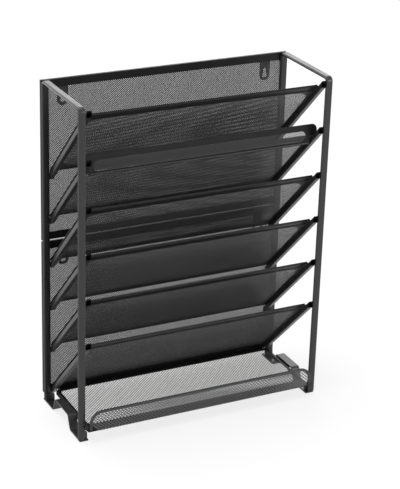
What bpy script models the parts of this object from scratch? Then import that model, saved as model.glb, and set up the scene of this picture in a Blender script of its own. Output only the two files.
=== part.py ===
# File organizer rack: two side frames of flat tube carry six slanted letter trays of framed
# steel mesh and one flat bottom tray, in front of two framed mesh back panels with hang tabs.
# Metres, +Z up. The front faces -Y and the origin is under the middle of the rack.

import math

import bmesh
import bpy
from mathutils import Matrix, Vector

for old in list(bpy.data.objects):
    bpy.data.objects.remove(old, do_unlink=True)

# Overall sizes. The depth runs from the front face of the front legs to the wall.
WIDTH = 0.356
HEIGHT = 0.460
DEPTH = 0.129
FIT_GAP = 0.0003

# Side frames: one flat tube each, bent over the top.
LEG_WIDTH = 0.010
LEG_DEPTH = 0.004
LEG_ROUND = 0.0014
BEND_RADIUS = 0.007

# Foot strips: flat steel bent into two feet with a bridge between them.
STRIP_WIDTH = 0.0125
STRIP_SETBACK = 0.0015
STRIP_THICKNESS = 0.002
BRIDGE_LENGTH = 0.043
RISER_LEAN = 0.0085
BRIDGE_CLEARANCE = 0.019
LEG_TAB_HEIGHT = 0.0125
LEG_TAB_THICKNESS = 0.0015

# Slanted trays, numbered from the top. Each lies on a pair of sloping rails.
TRAY_COUNT = 6
TRAY_ANGLE = math.radians(45)
TOP_RAIL_DROP = 0.0035
LOWEST_RAIL_END = 0.0178
RAIL_WIDTH = 0.0102
RAIL_HEIGHT = 0.009
RAIL_ROUND = 0.0010
TRAY_SETBACK = 0.008
TRAY_SHEET = 0.0012
TRAY_LIP = 0.003
LIP_END = 0.004
TRAY_FRONT_BORDER = 0.0135
TRAY_SIDE_BORDER = 0.0115
TRAY_REAR_BORDER = 0.012
TRAY_WINDOW_RADIUS = 0.022

# The second tray has an upright mesh front wall.
FASCIA_TRAY_INDEX = 2
FASCIA_SETBACK = 0.0175
FASCIA_RISE = 0.0195
FASCIA_DROP = 0.006
FASCIA_CORNER = 0.016
FASCIA_TOP_BORDER = 0.0095
FASCIA_BOTTOM_BORDER = 0.0045
FASCIA_SIDE_BORDER = 0.012
FASCIA_WINDOW_RADIUS = 0.0085

# Back panels: pressed sheet frames with a turned hem, one above the other.
BACK_SHEET = 0.001
BACK_HEM = 0.004
BACK_TOP_DROP = 0.001
BACK_BOTTOM = 0.0129
SEAM_HEIGHT = 0.2375
SEAM_GAP = 0.002
BACK_BORDER = 0.011
BACK_STILE = 0.0095
BACK_WINDOW_RADIUS = 0.003

# Hang tabs: tongues with a keyhole for a wall screw.
HANG_INSET = 0.031
HANG_WIDTH = 0.0147
HANG_LENGTH = 0.035
HANG_SHEET = 0.0012
HANG_END_DROP = 0.0378
KEYHOLE_RADIUS = 0.0035
KEYHOLE_SLOT = 0.004
KEYHOLE_RISE = 0.008

# Bottom tray: a flat mesh shelf under the bridges, with a wire rimmed front wall.
SHELF_SHEET = 0.0015
SHELF_OVERHANG = 0.010
SHELF_REAR_SETBACK = 0.0045
SHELF_NOTCH_SETBACK = 0.0148
SHELF_FRONT_HALF = 0.1675
SHELF_SHOULDER_HALF = 0.169
SHELF_FRONT_BORDER = 0.019
SHELF_SIDE_BORDER = 0.004
SHELF_REAR_BORDER = 0.0138
SHELF_WINDOW_RADIUS = 0.006
EAR_INSET = 0.0065
EAR_REACH = 0.010
RIM_INSET = 0.0126
RIM_HEIGHT = 0.046
RIM_WIRE = 0.004
RIM_CORNER = 0.017

# Mesh: expanded steel sheet. A diamond's size is its pitch across and along the sheet.
MESH_SHEET = 0.001
MESH_LAP = 0.0045
MESH_STRAND = 0.0032
TRAY_DIAMOND = (0.0376, 0.0448)
BACK_DIAMOND = (0.0372, 0.0472)
SHELF_DIAMOND = (0.036, 0.0474)
FRONT_DIAMOND = (0.018, 0.0164)
FASCIA_DIAMOND = (0.0146, 0.0106)

# Pan head screws: four in each back panel and two in each ear of the bottom tray.
SCREW_SHANK = 0.0034
SCREW_HEAD = 0.0066
SCREW_HEAD_HEIGHT = 0.0018
SCREW_HOLE = 0.0042
SCREW_DEPTH = 0.003
EAR_SCREW_SPACING = 0.018
BACK_SCREW_INSET = 0.025

# Faces along the width, the depth and the height that several pieces share.
FRONT_Y = SHELF_OVERHANG - (DEPTH + SHELF_OVERHANG) / 2
REAR_Y = FRONT_Y + DEPTH
LEG_INNER_X = WIDTH / 2 - LEG_WIDTH
BACK_SHEET_Y = REAR_Y - BACK_HEM
REAR_LEG_Y = BACK_SHEET_Y - FIT_GAP - LEG_DEPTH
RAIL_OUTER_X = LEG_INNER_X - FIT_GAP
RAIL_INNER_X = RAIL_OUTER_X - RAIL_WIDTH
STRIP_OUTER_X = WIDTH / 2 - STRIP_SETBACK
STRIP_INNER_X = STRIP_OUTER_X - STRIP_WIDTH
SHELF_TOP = BRIDGE_CLEARANCE - FIT_GAP
RIM_WIDTH = WIDTH - 2 * RIM_INSET
RAIL_FALL = (REAR_LEG_Y + LEG_DEPTH - FRONT_Y) * math.tan(TRAY_ANGLE)
TRAY_PITCH = (HEIGHT - TOP_RAIL_DROP - LOWEST_RAIL_END - RAIL_FALL) / (TRAY_COUNT - 1)
CORNER_STEPS = 5
ROUND_SIDES = 10
BACK_SCREW_SHANK = BACK_SHEET + FIT_GAP + SCREW_DEPTH / 2
EAR_SCREW_SHANK = SHELF_SHEET + FIT_GAP + STRIP_THICKNESS / 2

# The back mesh ends inside the screws' heads, and the shelf's mesh inside its narrow side borders.
BACK_MESH_LAP = BACK_STILE - LEG_WIDTH / 2 - SCREW_HEAD / 2 - FIT_GAP
SHELF_MESH_LAP = SHELF_SIDE_BORDER / 2


def steel(name, grey, roughness):
    """Black powder coated steel."""
    material = bpy.data.materials.new(name)
    material.use_nodes = True
    shader = material.node_tree.nodes["Principled BSDF"]
    shader.inputs["Base Color"].default_value = (grey, grey, grey, 1)
    shader.inputs["Roughness"].default_value = roughness
    shader.inputs["Metallic"].default_value = 0
    return material


COATED_TUBE = steel("coated_tube", 0.030, 0.38)
COATED_SHEET = steel("coated_sheet", 0.024, 0.42)
COATED_MESH = steel("coated_mesh", 0.020, 0.50)
BLACK_SCREW = steel("black_screw", 0.015, 0.35)


def add_object(name, shape, material, matrix=None):
    """Turn a finished bmesh into a named object."""
    if matrix is not None:
        shape.transform(matrix)
    mesh = bpy.data.meshes.new(name)
    shape.to_mesh(mesh)
    shape.free()
    mesh.materials.append(material)
    piece = bpy.data.objects.new(name, mesh)
    bpy.context.scene.collection.objects.link(piece)
    return piece


def rounded_outline(left, right, bottom, top, radii, steps=CORNER_STEPS):
    """Corner points of a rectangle, with the radii given from bottom left round to top left."""
    corners = (
        (left, bottom, 1, 1, 180),
        (right, bottom, -1, 1, 270),
        (right, top, -1, -1, 0),
        (left, top, 1, -1, 90),
    )
    points = []
    for (x, y, to_x, to_y, start), radius in zip(corners, radii):
        if radius == 0:
            points.append((x, y))
            continue
        for step in range(steps + 1):
            angle = math.radians(start + 90 * step / steps)
            centre_x = x + to_x * radius
            centre_y = y + to_y * radius
            points.append((centre_x + radius * math.cos(angle), centre_y + radius * math.sin(angle)))
    return points


def circle_outline(x, y, radius, sides):
    return [
        (x + radius * math.cos(math.tau * i / sides), y + radius * math.sin(math.tau * i / sides))
        for i in range(sides)
    ]


def flat_sheet(outline, holes):
    """A flat face with holes, without thickness, in the XY plane."""
    shape = bmesh.new()
    for loop in [outline] + list(holes):
        corners = [shape.verts.new((x, y, 0)) for x, y in loop]
        for i, corner in enumerate(corners):
            shape.edges.new((corner, corners[(i + 1) % len(corners)]))
    bmesh.ops.triangle_fill(shape, use_beauty=True, use_dissolve=False, edges=shape.edges[:])
    bmesh.ops.recalc_face_normals(shape, faces=shape.faces)
    if shape.faces[0].normal.z < 0:
        bmesh.ops.reverse_faces(shape, faces=shape.faces)
    return shape


def thicken(piece, thickness):
    """Give a sheet its thickness behind its face."""
    solid = piece.modifiers.new("sheet", "SOLIDIFY")
    solid.thickness = thickness
    solid.offset = -1
    solid.use_even_offset = True
    return piece


def diamonds(outline_box, corner_radius, pitch):
    """Staggered diamond openings that fit inside a window with round corners."""
    left, right, bottom, top = outline_box
    pitch_x, pitch_y = pitch
    tilt = math.atan2(pitch_y, pitch_x)
    half_x = pitch_x / 2 - MESH_STRAND / (2 * math.sin(tilt))
    half_y = pitch_y / 2 - MESH_STRAND / (2 * math.cos(tilt))
    centre_x = (left + right) / 2
    centre_y = (bottom + top) / 2
    columns = int((right - left) / pitch_x) + 1
    rows = int((top - bottom) / pitch_y) * 2 + 1
    loops = []
    for row in range(-rows, rows + 1):
        for column in range(-columns, columns + 1):
            x = centre_x + pitch_x * (column + (row % 2) / 2)
            y = centre_y + pitch_y * row / 2
            inside_x = left <= x - half_x and x + half_x <= right
            inside_y = bottom <= y - half_y and y + half_y <= top
            if inside_x and inside_y and clear_of_corners(x, y, half_x, half_y, outline_box, corner_radius):
                loops.append([(x - half_x, y), (x, y - half_y), (x + half_x, y), (x, y + half_y)])
    return loops


def clear_of_corners(x, y, half_x, half_y, box, radius):
    """Whether a diamond keeps inside the round corners of its window."""
    left, right, bottom, top = box
    reach_x = abs(x - (left + right) / 2)
    reach_y = abs(y - (bottom + top) / 2)
    past_x = (right - left) / 2 - radius
    past_y = (top - bottom) / 2 - radius
    for tip_x, tip_y in ((reach_x + half_x, reach_y), (reach_x, reach_y + half_y)):
        if tip_x > past_x and tip_y > past_y:
            if math.hypot(tip_x - past_x, tip_y - past_y) > radius:
                return False
    return True


def mesh_sheet(name, window, window_radius, pitch, matrix, lap=MESH_LAP):
    """Expanded steel mesh behind a window, lapping its edge all round."""
    left, right, bottom, top = window
    outline = rounded_outline(left - lap, right + lap, bottom - lap, top + lap, [lap] * 4, steps=2)
    holes = diamonds(window, window_radius, pitch)
    return thicken(add_object(name, flat_sheet(outline, holes), COATED_MESH, matrix), MESH_SHEET)


def extruded(name, points, x_start, x_end, material):
    """A side outline of (y, z) points, extruded along X."""
    shape = bmesh.new()
    corners = [shape.verts.new((x_start, y, z)) for y, z in points]
    face = shape.faces.new(corners)
    pulled = bmesh.ops.extrude_face_region(shape, geom=[face])
    moved = [item for item in pulled["geom"] if isinstance(item, bmesh.types.BMVert)]
    bmesh.ops.translate(shape, verts=moved, vec=(x_end - x_start, 0, 0))
    bmesh.ops.recalc_face_normals(shape, faces=shape.faces)
    return add_object(name, shape, material)


def swept(name, section, stations, material):
    """Loft a section along stations, each a 4 x 4 matrix that places it."""
    shape = bmesh.new()
    rings = []
    for matrix in stations:
        rings.append([shape.verts.new(matrix @ Vector((x, y, 0))) for x, y in section])
    for ring, following in zip(rings, rings[1:]):
        for i in range(len(section)):
            j = (i + 1) % len(section)
            shape.faces.new((ring[i], ring[j], following[j], following[i]))
    shape.faces.new(rings[0])
    shape.faces.new(rings[-1])
    bmesh.ops.recalc_face_normals(shape, faces=shape.faces)
    for face in shape.faces:
        face.smooth = len(face.verts) == 4
    piece = add_object(name, shape, material)
    piece.data.set_sharp_from_angle(angle=math.radians(50))
    return piece


def arch_stations(plane, half_span, foot_height, top_height, radius, steps):
    """Stations of a tube that climbs, crosses and comes down, given on its centre line."""
    stations = []

    def place(across, height, turn):
        local = Matrix.Translation((across, 0, height)) @ Matrix.Rotation(turn, 4, "Y")
        stations.append(plane @ local)

    place(-half_span, foot_height, 0)
    for side in (-1, 1):
        for step in range(steps + 1):
            turn = math.radians(90 * (step / steps + (side + 1) / 2))
            centre_across = side * (half_span - radius)
            across = centre_across - radius * math.cos(turn)
            height = top_height - radius + radius * math.sin(turn)
            place(across, height, turn)
    place(half_span, foot_height, math.pi)
    return stations


def cut_holes(piece, places, axis, radius, depth):
    """Drill round holes, given the centre of each on the face where it starts."""
    shape = bmesh.new()
    turn = Vector((0, 0, 1)).rotation_difference(axis).to_matrix().to_4x4()
    for place in places:
        bmesh.ops.create_cone(
            shape, cap_ends=True, segments=ROUND_SIDES, radius1=radius, radius2=radius,
            depth=2 * depth, matrix=Matrix.Translation(place) @ turn)
    drill = add_object(piece.name + "_drill", shape, BLACK_SCREW)
    drill.hide_render = True
    drill.display_type = "WIRE"
    cut = piece.modifiers.new("holes", "BOOLEAN")
    cut.operation = "DIFFERENCE"
    cut.solver = "EXACT"
    cut.object = drill


def screw(name, place, axis, shank_length):
    """Pan head screw whose head sits on a face; the axis points out of the head."""
    profile = (
        (SCREW_SHANK / 2, -shank_length),
        (SCREW_SHANK / 2, FIT_GAP),
        (SCREW_HEAD / 2, FIT_GAP),
        (SCREW_HEAD / 2, FIT_GAP + SCREW_HEAD_HEIGHT / 2),
        (SCREW_HEAD / 3, FIT_GAP + SCREW_HEAD_HEIGHT),
    )
    turn = Vector((0, 0, 1)).rotation_difference(axis).to_matrix().to_4x4()
    matrix = Matrix.Translation(place) @ turn
    shape = bmesh.new()
    rings = []
    for radius, height in profile:
        points = circle_outline(0, 0, radius, ROUND_SIDES)
        rings.append([shape.verts.new(matrix @ Vector((x, y, height))) for x, y in points])
    for ring, following in zip(rings, rings[1:]):
        for i in range(ROUND_SIDES):
            j = (i + 1) % ROUND_SIDES
            shape.faces.new((ring[i], ring[j], following[j], following[i]))
    shape.faces.new(rings[0])
    shape.faces.new(rings[-1])
    bmesh.ops.recalc_face_normals(shape, faces=shape.faces)
    return add_object(name, shape, BLACK_SCREW)


def back_screw_places(side, bottom, top):
    """Two screws down one stile of a back panel, in line with the rear leg."""
    x = side * (WIDTH / 2 - LEG_WIDTH / 2)
    heights = (bottom + BACK_SCREW_INSET, top - BACK_SCREW_INSET)
    return [Vector((x, BACK_SHEET_Y + BACK_SHEET, z)) for z in heights]


BACK_PANELS = {
    "upper": (SEAM_HEIGHT + SEAM_GAP / 2, HEIGHT - BACK_TOP_DROP),
    "lower": (BACK_BOTTOM, SEAM_HEIGHT - SEAM_GAP / 2),
}


def side_frame(name, side):
    """Front leg, top rail and rear leg in one bent flat tube, drilled for the back panels."""
    half_width = LEG_WIDTH / 2
    half_depth = LEG_DEPTH / 2
    section = rounded_outline(-half_depth, half_depth, -half_width, half_width, [LEG_ROUND] * 4, steps=3)
    middle_y = (FRONT_Y + REAR_LEG_Y + LEG_DEPTH) / 2
    plane = Matrix.Translation((side * (WIDTH / 2 - half_width), middle_y, 0)) @ Matrix.Rotation(
        math.radians(90), 4, "Z")
    half_span = (REAR_LEG_Y + LEG_DEPTH - FRONT_Y) / 2 - half_depth
    foot = STRIP_THICKNESS + FIT_GAP
    stations = arch_stations(plane, half_span, foot, HEIGHT - half_depth, BEND_RADIUS - half_depth, 5)
    frame = swept(name, section, stations, COATED_TUBE)
    places = []
    for bottom, top in BACK_PANELS.values():
        for place in back_screw_places(side, bottom, top):
            places.append(Vector((place.x, REAR_LEG_Y + LEG_DEPTH, place.z)))
    cut_holes(frame, places, Vector((0, 1, 0)), SCREW_HOLE / 2, SCREW_DEPTH)
    return frame


def foot_strip(name, side):
    """Two feet and a raised bridge, with upright tabs behind the front leg and before the rear one."""
    middle = (FRONT_Y + REAR_Y) / 2
    half = DEPTH / 2
    bridge_in = BRIDGE_LENGTH / 2
    foot_in = bridge_in + RISER_LEAN
    rise = BRIDGE_CLEARANCE
    thick = STRIP_THICKNESS
    riser_length = math.hypot(RISER_LEAN, rise)
    mitre = thick * (riser_length - RISER_LEAN) / rise
    front_tab = FRONT_Y + LEG_DEPTH + FIT_GAP
    rear_tab = REAR_LEG_Y - FIT_GAP
    below = [
        (-half, 0), (-foot_in, 0), (-bridge_in, rise), (bridge_in, rise), (foot_in, 0), (half, 0),
    ]
    above = [
        (half, thick), (foot_in + mitre, thick), (bridge_in + mitre, rise + thick),
        (-bridge_in - mitre, rise + thick), (-foot_in - mitre, thick), (-half, thick),
    ]
    lower_side = [(middle + y, z) for y, z in below]
    upper_side = [(middle + y, z) for y, z in above]
    rear_upright = [
        (rear_tab, thick), (rear_tab, LEG_TAB_HEIGHT),
        (rear_tab - LEG_TAB_THICKNESS, LEG_TAB_HEIGHT), (rear_tab - LEG_TAB_THICKNESS, thick),
    ]
    front_upright = [
        (front_tab + LEG_TAB_THICKNESS, thick), (front_tab + LEG_TAB_THICKNESS, LEG_TAB_HEIGHT),
        (front_tab, LEG_TAB_HEIGHT), (front_tab, thick),
    ]
    outline = lower_side + upper_side[:1] + rear_upright + upper_side[1:5] + front_upright + upper_side[5:]
    strip = extruded(name, outline, side * STRIP_INNER_X, side * STRIP_OUTER_X, COATED_SHEET)
    places = [Vector((side * (STRIP_INNER_X + EAR_REACH / 2), y, rise)) for y in ear_screw_rows()]
    cut_holes(strip, places, Vector((0, 0, 1)), SCREW_HOLE / 2, thick + FIT_GAP)
    return strip


def tray_top(number):
    """Height of the rails' upper edge at the front, for a tray counted from the top."""
    return HEIGHT - TOP_RAIL_DROP - TRAY_PITCH * (number - 1)


def tray_rail(name, side, number):
    """Sloping rail between the front leg and the rear leg, with upright cut ends."""
    top = tray_top(number)
    rear = REAR_LEG_Y + LEG_DEPTH
    end = top - RAIL_FALL
    points = [
        (FRONT_Y, top - RAIL_HEIGHT), (rear, end - RAIL_HEIGHT), (rear, end), (FRONT_Y, top),
    ]
    rail = extruded(name, points, side * RAIL_INNER_X, side * RAIL_OUTER_X, COATED_TUBE)
    edge = rail.modifiers.new("round edges", "BEVEL")
    edge.width = RAIL_ROUND
    edge.segments = 2
    edge.limit_method = "NONE"
    return rail


def tray_plane(number, lift):
    """Places a flat drawing on the rails: its x runs across, its y down the slope."""
    across = Vector((1, 0, 0))
    down = Vector((0, math.cos(TRAY_ANGLE), -math.sin(TRAY_ANGLE)))
    out = across.cross(down)
    corner = Vector((0, FRONT_Y, tray_top(number)))
    return Matrix.Translation(corner + out * lift) @ Matrix((across, down, out)).transposed().to_4x4()


def tray_sizes(number):
    """Outer and window limits of a tray frame, measured down the slope from the leg fronts."""
    half = RAIL_OUTER_X
    fascia = number == FASCIA_TRAY_INDEX
    setback = FASCIA_SETBACK + TRAY_SHEET / 2 + FIT_GAP if fascia else TRAY_SETBACK
    stack = TRAY_SHEET + MESH_SHEET + 3 * FIT_GAP
    start = setback / math.cos(TRAY_ANGLE)
    end = (BACK_SHEET_Y - FIT_GAP - FRONT_Y - stack * math.sin(TRAY_ANGLE)) / math.cos(TRAY_ANGLE)
    window = (
        -half + TRAY_SIDE_BORDER, half - TRAY_SIDE_BORDER,
        start + TRAY_FRONT_BORDER, end - TRAY_REAR_BORDER,
    )
    return half, start, end, window


def tray_frame(number):
    """Pressed sheet frame of one tray, with a round cornered window and a turned up front lip."""
    half, start, end, window = tray_sizes(number)
    outline = [
        (-half, start), (-half + LIP_END, start), (half - LIP_END, start), (half, start),
        (half, end), (-half, end),
    ]
    holes = [rounded_outline(*window, [TRAY_WINDOW_RADIUS] * 4)]
    shape = flat_sheet(outline, holes)
    if number != FASCIA_TRAY_INDEX:
        fold = [edge for edge in shape.edges if is_fold(edge, half - LIP_END, start)]
        pulled = bmesh.ops.extrude_edge_only(shape, edges=fold)
        moved = [item for item in pulled["geom"] if isinstance(item, bmesh.types.BMVert)]
        bmesh.ops.translate(shape, verts=moved, vec=(0, 0, TRAY_LIP))
        bmesh.ops.recalc_face_normals(shape, faces=shape.faces)
        widest = max(shape.faces, key=lambda face: face.calc_area())
        if widest.normal.z < 0:
            bmesh.ops.reverse_faces(shape, faces=shape.faces)
    matrix = tray_plane(number, 2 * FIT_GAP + MESH_SHEET + TRAY_SHEET)
    return thicken(add_object(f"tray_{number}_frame", shape, COATED_SHEET, matrix), TRAY_SHEET)


def is_fold(edge, reach, start):
    """Whether an edge of the flat sheet is the line where the front lip turns up."""
    on_line = all(abs(corner.co.y - start) < FIT_GAP for corner in edge.verts)
    inside = all(abs(corner.co.x) < reach + FIT_GAP for corner in edge.verts)
    return on_line and inside


def tray_mesh(number):
    """Mesh of one tray, between its frame and the rails."""
    window = tray_sizes(number)[3]
    matrix = tray_plane(number, FIT_GAP + MESH_SHEET)
    return mesh_sheet(f"tray_{number}_mesh", window, TRAY_WINDOW_RADIUS, TRAY_DIAMOND, matrix)


def upright_plane(y_face, facing):
    """Places a flat drawing upright, its y up, facing the front (-1) or the wall (1)."""
    across = Vector((-facing, 0, 0))
    up = Vector((0, 0, 1))
    out = across.cross(up)
    return Matrix.Translation((0, y_face, 0)) @ Matrix((across, up, out)).transposed().to_4x4()


def fascia_sizes():
    """Front face, height of the rails' upper edge there, and window of the second tray's front wall."""
    to_face = FASCIA_SETBACK - TRAY_SHEET / 2
    on_rails = tray_top(FASCIA_TRAY_INDEX) - to_face * math.tan(TRAY_ANGLE) + FIT_GAP
    window = (
        -RAIL_OUTER_X + FASCIA_SIDE_BORDER, RAIL_OUTER_X - FASCIA_SIDE_BORDER,
        on_rails - FASCIA_DROP + FASCIA_BOTTOM_BORDER, on_rails + FASCIA_RISE - FASCIA_TOP_BORDER,
    )
    return FRONT_Y + to_face, on_rails, window


def inset_box(box, margin):
    left, right, bottom, top = box
    return (left + margin, right - margin, bottom + margin, top - margin)


def fascia():
    """Upright front wall of the second tray: it stands on the rails and hangs between them."""
    front, on_rails, window = fascia_sizes()
    bottom = on_rails - FASCIA_DROP
    half = RAIL_OUTER_X
    between = RAIL_INNER_X - FIT_GAP
    upper = rounded_outline(
        -half, half, on_rails, on_rails + FASCIA_RISE, [0, 0, FASCIA_CORNER, FASCIA_CORNER])
    outline = [(-between, bottom), (between, bottom), (between, on_rails)] + upper[1:] + [
        (-half, on_rails), (-between, on_rails)]
    opening = rounded_outline(*window, [0, 0, FASCIA_WINDOW_RADIUS, FASCIA_WINDOW_RADIUS])
    shape = flat_sheet(outline, [opening])
    name = f"tray_{FASCIA_TRAY_INDEX}_front_frame"
    thicken(add_object(name, shape, COATED_SHEET, upright_plane(front, -1)), TRAY_SHEET)


def fascia_mesh():
    """Mesh inside the window of the second tray's front wall."""
    front, on_rails, window = fascia_sizes()
    inner = inset_box(window, FIT_GAP)
    radius = FASCIA_WINDOW_RADIUS
    outline = rounded_outline(*inner, [0, 0, radius, radius])
    margin = MESH_STRAND / 2
    holes = diamonds(inset_box(inner, margin), radius - margin, FASCIA_DIAMOND)
    shape = flat_sheet(outline, holes)
    name = f"tray_{FASCIA_TRAY_INDEX}_front_mesh"
    thicken(add_object(name, shape, COATED_MESH, upright_plane(front, -1)), MESH_SHEET)


def back_window(bottom, top):
    half = WIDTH / 2
    return (-half + BACK_STILE, half - BACK_STILE, bottom + BACK_BORDER, top - BACK_BORDER)


def back_frame(name, bottom, top):
    """Sheet frame of a back panel with its edges turned back as a hem."""
    half = WIDTH / 2
    window = back_window(bottom, top)
    holes = [rounded_outline(*window, [BACK_WINDOW_RADIUS] * 4, steps=2)]
    for side in (-1, 1):
        for place in back_screw_places(side, bottom, top):
            holes.append(circle_outline(place.x, place.z, SCREW_HOLE / 2, ROUND_SIDES))
    shape = flat_sheet(rounded_outline(-half, half, bottom, top, [0] * 4), holes)
    rim = [
        edge for edge in shape.edges
        if edge.is_boundary and all(on_outline(corner.co, half, bottom, top) for corner in edge.verts)
    ]
    pulled = bmesh.ops.extrude_edge_only(shape, edges=rim)
    moved = [item for item in pulled["geom"] if isinstance(item, bmesh.types.BMVert)]
    bmesh.ops.translate(shape, verts=moved, vec=(0, 0, -BACK_HEM))
    bmesh.ops.recalc_face_normals(shape, faces=shape.faces)
    widest = max(shape.faces, key=lambda face: face.calc_area())
    if widest.normal.z < 0:
        bmesh.ops.reverse_faces(shape, faces=shape.faces)
    thicken(add_object(name, shape, COATED_SHEET, upright_plane(BACK_SHEET_Y, -1)), BACK_SHEET)


def on_outline(point, half, bottom, top):
    on_side = abs(abs(point.x) - half) < FIT_GAP
    on_end = min(abs(point.y - bottom), abs(point.y - top)) < FIT_GAP
    return on_side or on_end


def back_mesh(name, bottom, top):
    window = back_window(bottom, top)
    front = BACK_SHEET_Y + BACK_SHEET + FIT_GAP
    mesh_sheet(name, window, BACK_WINDOW_RADIUS, BACK_DIAMOND, upright_plane(front, -1), lap=BACK_MESH_LAP)


def hang_tab(name, side, top):
    """Tongue behind a back panel with a round end and a keyhole, below the panel's top edge."""
    x = side * (WIDTH / 2 - HANG_INSET)
    end = top - HANG_END_DROP
    half = HANG_WIDTH / 2
    outline = rounded_outline(x - half, x + half, end, end + HANG_LENGTH, [half, half, 0, 0])
    shape = flat_sheet(unique_points(outline), [keyhole(x, end + half)])
    front = BACK_SHEET_Y + BACK_SHEET + MESH_SHEET + 2 * FIT_GAP
    thicken(add_object(name, shape, COATED_SHEET, upright_plane(front, -1)), HANG_SHEET)


def keyhole(x, z):
    """A round hole for a screw head, with a slot above it for the shank."""
    half_slot = KEYHOLE_SLOT / 2
    opening = math.asin(half_slot / KEYHOLE_RADIUS)
    steps = 10
    points = []
    for step in range(steps + 1):
        angle = math.pi / 2 + opening + (math.tau - 2 * opening) * step / steps
        points.append((x + KEYHOLE_RADIUS * math.cos(angle), z + KEYHOLE_RADIUS * math.sin(angle)))
    for step in range(5):
        angle = math.pi * step / 4
        points.append((x + half_slot * math.cos(angle), z + KEYHOLE_RISE + half_slot * math.sin(angle)))
    return points


def unique_points(points):
    """Drop a point that repeats the one before it."""
    kept = []
    for point in points:
        if not kept or math.hypot(point[0] - kept[-1][0], point[1] - kept[-1][1]) > FIT_GAP / 3:
            kept.append(point)
    return kept


def ear_screw_rows():
    middle = (FRONT_Y + REAR_Y) / 2
    return (middle - EAR_SCREW_SPACING / 2, middle + EAR_SCREW_SPACING / 2)


def shelf_limits():
    """Half width, front and rear of the bottom tray's sheet."""
    half = STRIP_INNER_X - FIT_GAP
    return half, FRONT_Y - SHELF_OVERHANG, REAR_Y - SHELF_REAR_SETBACK


def shelf_window():
    half, front, rear = shelf_limits()
    reach = half - SHELF_SIDE_BORDER
    return (-reach, reach, front + SHELF_FRONT_BORDER, rear - SHELF_REAR_BORDER)


def shelf_frame():
    """Sheet frame of the bottom tray: ears pass under the bridges, notches clear the lowest rails."""
    half, front, rear = shelf_limits()
    notch = REAR_Y - SHELF_NOTCH_SETBACK
    inner = RAIL_INNER_X - FIT_GAP
    middle = (FRONT_Y + REAR_Y) / 2
    near = middle - BRIDGE_LENGTH / 2 + EAR_INSET
    far = middle + BRIDGE_LENGTH / 2 - EAR_INSET
    reach = STRIP_INNER_X + EAR_REACH
    shoulder = FRONT_Y - FIT_GAP
    outline = [
        (-SHELF_FRONT_HALF, front), (SHELF_FRONT_HALF, front), (SHELF_SHOULDER_HALF, shoulder),
        (half, shoulder), (half, near), (reach, near), (reach, far), (half, far), (half, notch),
        (inner, notch), (inner, rear), (-inner, rear), (-inner, notch), (-half, notch),
        (-half, far), (-reach, far), (-reach, near), (-half, near), (-half, shoulder),
        (-SHELF_SHOULDER_HALF, shoulder),
    ]
    holes = [rounded_outline(*shelf_window(), [SHELF_WINDOW_RADIUS] * 4, steps=3)]
    for side in (-1, 1):
        for y in ear_screw_rows():
            x = side * (STRIP_INNER_X + EAR_REACH / 2)
            holes.append(circle_outline(x, y, SCREW_HOLE / 2, ROUND_SIDES))
    shape = flat_sheet(outline, holes)
    matrix = Matrix.Translation((0, 0, SHELF_TOP))
    thicken(add_object("bottom_tray_frame", shape, COATED_SHEET, matrix), SHELF_SHEET)


def shelf_mesh():
    """Mesh floor of the bottom tray, under its frame."""
    matrix = Matrix.Translation((0, 0, SHELF_TOP - SHELF_SHEET - FIT_GAP))
    mesh_sheet(
        "bottom_tray_mesh", shelf_window(), SHELF_WINDOW_RADIUS, SHELF_DIAMOND, matrix, lap=SHELF_MESH_LAP)


def shelf_rim():
    """Steel wire that stands on the shelf's front edge and arches over the front wall."""
    section = circle_outline(0, 0, RIM_WIRE / 2, ROUND_SIDES)
    front = FRONT_Y - SHELF_OVERHANG + RIM_WIRE / 2
    plane = Matrix.Translation((0, front, 0))
    half_span = RIM_WIDTH / 2 - RIM_WIRE / 2
    foot = SHELF_TOP + FIT_GAP
    stations = arch_stations(
        plane, half_span, foot, RIM_HEIGHT - RIM_WIRE / 2, RIM_CORNER - RIM_WIRE / 2, 6)
    swept("bottom_tray_rim", section, stations, COATED_TUBE)


def shelf_front():
    """Mesh front wall of the bottom tray, inside its wire rim."""
    inset = RIM_WIRE + FIT_GAP
    half = RIM_WIDTH / 2 - inset
    bottom = SHELF_TOP + FIT_GAP
    top = RIM_HEIGHT - inset
    radius = RIM_CORNER - inset
    outline = rounded_outline(-half, half, bottom, top, [0, 0, radius, radius])
    margin = MESH_STRAND
    holes = diamonds(inset_box((-half, half, bottom, top), margin), radius - margin, FRONT_DIAMOND)
    front = FRONT_Y - SHELF_OVERHANG + RIM_WIRE / 2 - MESH_SHEET / 2
    shape = flat_sheet(outline, holes)
    thicken(add_object("bottom_tray_front_mesh", shape, COATED_MESH, upright_plane(front, -1)), MESH_SHEET)


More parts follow.
